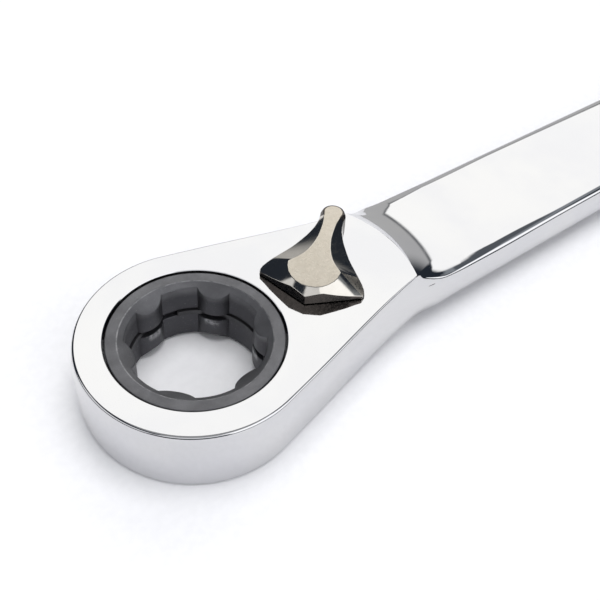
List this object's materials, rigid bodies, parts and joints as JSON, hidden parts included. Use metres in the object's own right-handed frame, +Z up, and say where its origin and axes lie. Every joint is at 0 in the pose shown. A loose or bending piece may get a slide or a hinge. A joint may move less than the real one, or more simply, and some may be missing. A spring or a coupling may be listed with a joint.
{
  "type": "ratcheting combination wrench",
  "caption": "Combination wrench with a reversible ratcheting ring at one end, a small reversing lever on its face, and an angled open end at the other.",
  "frame": {"origin": "middle of the wrench's overall length and width, on the plane of the ring head's underside", "axes": "+X from the ring end to the open end, +Y across the wrench, +Z up through the face that carries the reversing lever"},
  "size_m": [0.178, 0.0278, 0.0114],
  "materials": {
    "polished_chrome": "mirror polish",
    "phosphated_steel": "matt dark phosphate",
    "black_spring_steel": "black oxide",
    "satin_nickel": "warm satin nickel on top, polished flanks",
    "spring_steel": "bright drawn",
    "seal_rubber": "matt"
  },
  "bodies": {
    "body": {"wrench_body": "polished_chrome", "gear_snap_ring": "black_spring_steel"},
    "gear": {"ratchet_gear": "phosphated_steel", "bore_stop_ring": "black_spring_steel"},
    "lever": {"reversing_lever": "satin_nickel", "lever_seal_ring": "seal_rubber", "lever_clip": "spring_steel", "plunger_spring": "spring_steel"},
    "plunger": {"pawl_plunger": "spring_steel"},
    "pawl": {"pawl": "black_spring_steel"}
  },
  "joints": [
    {"name": "gear_spin", "type": "hinge", "parent": "body", "child": "gear", "pos_m": [-0.07595, 0, 0.00435], "axis": [0, 0, 1], "continuous": true},
    {"name": "lever_turn", "type": "hinge", "parent": "body", "child": "lever", "pos_m": [-0.0599, 0, 0.00435], "axis": [0, 0, 1], "range_deg": [-75, 0]},
    {"name": "pawl_rock", "type": "hinge", "parent": "body", "child": "pawl", "pos_m": [-0.06435, 0, 0.00435], "axis": [0, 0, 1], "range_deg": [0, 5]},
    {"name": "plunger_push", "type": "slide", "parent": "lever", "child": "plunger", "axis": [0.7934, 0.6088, 0], "range_m": [0, 0.00045], "stiffness_N_per_m": 300, "springref_m": -0.0005}
  ],
  "couplings": [
    {"joint": "pawl_rock", "follows": "lever_turn", "ratio": -0.0666}
  ]
}
